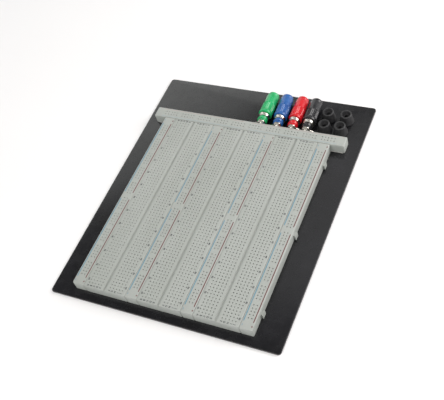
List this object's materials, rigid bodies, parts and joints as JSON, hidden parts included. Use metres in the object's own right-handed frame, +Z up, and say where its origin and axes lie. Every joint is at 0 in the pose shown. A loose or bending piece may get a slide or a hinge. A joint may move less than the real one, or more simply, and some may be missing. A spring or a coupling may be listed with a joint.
{
  "type": "solderless breadboard",
  "caption": "Solderless breadboard of ganged terminal and bus strips on a black metal plate, with loose binding posts and rubber feet on its back margin.",
  "frame": {"origin": "centre of the plate's underside, on the surface it lies on", "axes": "+X right along the front edge, +Y from the front edge to the back margin, +Z up out of the plate"},
  "size_m": [0.1842, 0.2222, 0.013],
  "materials": {
    "plate_enamel": "semi-gloss black enamel on sheet steel",
    "strip_plastic": "satin off-white moulded ABS",
    "foam_tape": "closed-cell foam adhesive tape",
    "spring_contact": "nickel-plated spring bronze",
    "nickel": "nickel-plated brass, machined",
    "brass": "machined brass",
    "post_green_plastic": "gloss moulded",
    "post_blue_plastic": "gloss moulded",
    "post_red_plastic": "gloss moulded",
    "post_black_plastic": "gloss moulded",
    "foot_rubber": "moulded black rubber"
  },
  "bodies": {
    "board": {"base_plate": "plate_enamel", "adhesive_backing_block": "foam_tape", "adhesive_backing_back": "foam_tape", "terminal_strip_1": "strip_plastic", "terminal_clips_1_left": "spring_contact", "terminal_clips_1_right": "spring_contact", "terminal_strip_2": "strip_plastic", "terminal_clips_2_left": "spring_contact", "terminal_clips_2_right": "spring_contact", "terminal_strip_3": "strip_plastic", "terminal_clips_3_left": "spring_contact", "terminal_clips_3_right": "spring_contact", "bus_strip_1": "strip_plastic", "bus_clip_1_blue": "spring_contact", "bus_clip_1_red": "spring_contact", "bus_strip_2": "strip_plastic", "bus_clip_2_blue": "spring_contact", "bus_clip_2_red": "spring_contact", "bus_strip_3": "strip_plastic", "bus_clip_3_blue": "spring_contact", "bus_clip_3_red": "spring_contact", "bus_strip_4": "strip_plastic", "bus_clip_4_blue": "spring_contact", "bus_clip_4_red": "spring_contact", "bus_strip_back": "strip_plastic", "bus_clip_back_blue": "spring_contact", "bus_clip_back_red": "spring_contact"},
    "post_green": {"post_green_stud": "nickel", "post_green_hex_nut": "nickel", "post_green_solder_lug": "nickel", "post_green_rear_washer": "post_green_plastic", "post_green_front_bush": "post_green_plastic"},
    "insert_green": {"post_green_cap_insert": "brass"},
    "cap_green": {"post_green_cap": "post_green_plastic"},
    "post_blue": {"post_blue_stud": "nickel", "post_blue_hex_nut": "nickel", "post_blue_solder_lug": "nickel", "post_blue_rear_washer": "post_blue_plastic", "post_blue_front_bush": "post_blue_plastic"},
    "insert_blue": {"post_blue_cap_insert": "brass"},
    "cap_blue": {"post_blue_cap": "post_blue_plastic"},
    "post_red": {"post_red_stud": "nickel", "post_red_hex_nut": "nickel", "post_red_solder_lug": "nickel", "post_red_rear_washer": "post_red_plastic", "post_red_front_bush": "post_red_plastic"},
    "insert_red": {"post_red_cap_insert": "brass"},
    "cap_red": {"post_red_cap": "post_red_plastic"},
    "post_black": {"post_black_stud": "nickel", "post_black_hex_nut": "nickel", "post_black_solder_lug": "nickel", "post_black_rear_washer": "post_black_plastic", "post_black_front_bush": "post_black_plastic"},
    "insert_black": {"post_black_cap_insert": "brass"},
    "cap_black": {"post_black_cap": "post_black_plastic"},
    "foot_1": {"rubber_foot_1": "foot_rubber"},
    "foot_2": {"rubber_foot_2": "foot_rubber"},
    "foot_3": {"rubber_foot_3": "foot_rubber"},
    "foot_4": {"rubber_foot_4": "foot_rubber"}
  },
  "joints": [
    {"name": "post_green_lift", "type": "slide", "parent": "board", "child": "post_green", "axis": [0, 0, 1], "range_m": [0, 0.06]},
    {"name": "cap_green_travel", "type": "slide", "parent": "post_green", "child": "insert_green", "axis": [0, 1, 0], "range_m": [0, 0.0028]},
    {"name": "cap_green_turn", "type": "hinge", "parent": "insert_green", "child": "cap_green", "pos_m": [0.0085, 0.0714, 0.0074], "axis": [0, 1, 0], "range_deg": [0, 1440]},
    {"name": "post_blue_lift", "type": "slide", "parent": "board", "child": "post_blue", "axis": [0, 0, 1], "range_m": [0, 0.06]},
    {"name": "cap_blue_travel", "type": "slide", "parent": "post_blue", "child": "insert_blue", "axis": [-0.0523, 0.9986, 0], "range_m": [0, 0.0028]},
    {"name": "cap_blue_turn", "type": "hinge", "parent": "insert_blue", "child": "cap_blue", "pos_m": [0.0224, 0.0714, 0.0074], "axis": [-0.0523, 0.9986, 0], "range_deg": [0, 1440]},
    {"name": "post_red_lift", "type": "slide", "parent": "board", "child": "post_red", "axis": [0, 0, 1], "range_m": [0, 0.06]},
    {"name": "cap_red_travel", "type": "slide", "parent": "post_red", "child": "insert_red", "axis": [-0.0175, 0.9998, 0], "range_m": [0, 0.0028]},
    {"name": "cap_red_turn", "type": "hinge", "parent": "insert_red", "child": "cap_red", "pos_m": [0.0347, 0.0714, 0.0074], "axis": [-0.0175, 0.9998, 0], "range_deg": [0, 1440]},
    {"name": "post_black_lift", "type": "slide", "parent": "board", "child": "post_black", "axis": [0, 0, 1], "range_m": [0, 0.06]},
    {"name": "cap_black_travel", "type": "slide", "parent": "post_black", "child": "insert_black", "axis": [-0.0175, 0.9998, 0], "range_m": [0, 0.0028]},
    {"name": "cap_black_turn", "type": "hinge", "parent": "insert_black", "child": "cap_black", "pos_m": [0.0465, 0.0714, 0.0074], "axis": [-0.0175, 0.9998, 0], "range_deg": [0, 1440]},
    {"name": "foot_1_lift", "type": "slide", "parent": "board", "child": "foot_1", "axis": [0, 0, 1], "range_m": [0, 0.06]},
    {"name": "foot_2_lift", "type": "slide", "parent": "board", "child": "foot_2", "axis": [0, 0, 1], "range_m": [0, 0.06]},
    {"name": "foot_3_lift", "type": "slide", "parent": "board", "child": "foot_3", "axis": [0, 0, 1], "range_m": [0, 0.06]},
    {"name": "foot_4_lift", "type": "slide", "parent": "board", "child": "foot_4", "axis": [0, 0, 1], "range_m": [0, 0.06]}
  ],
  "couplings": [
    {"joint": "cap_green_turn", "follows": "cap_green_travel", "rad_per_m": 8976},
    {"joint": "cap_blue_turn", "follows": "cap_blue_travel", "rad_per_m": 8976},
    {"joint": "cap_red_turn", "follows": "cap_red_travel", "rad_per_m": 8976},
    {"joint": "cap_black_turn", "follows": "cap_black_travel", "rad_per_m": 8976}
  ]
}
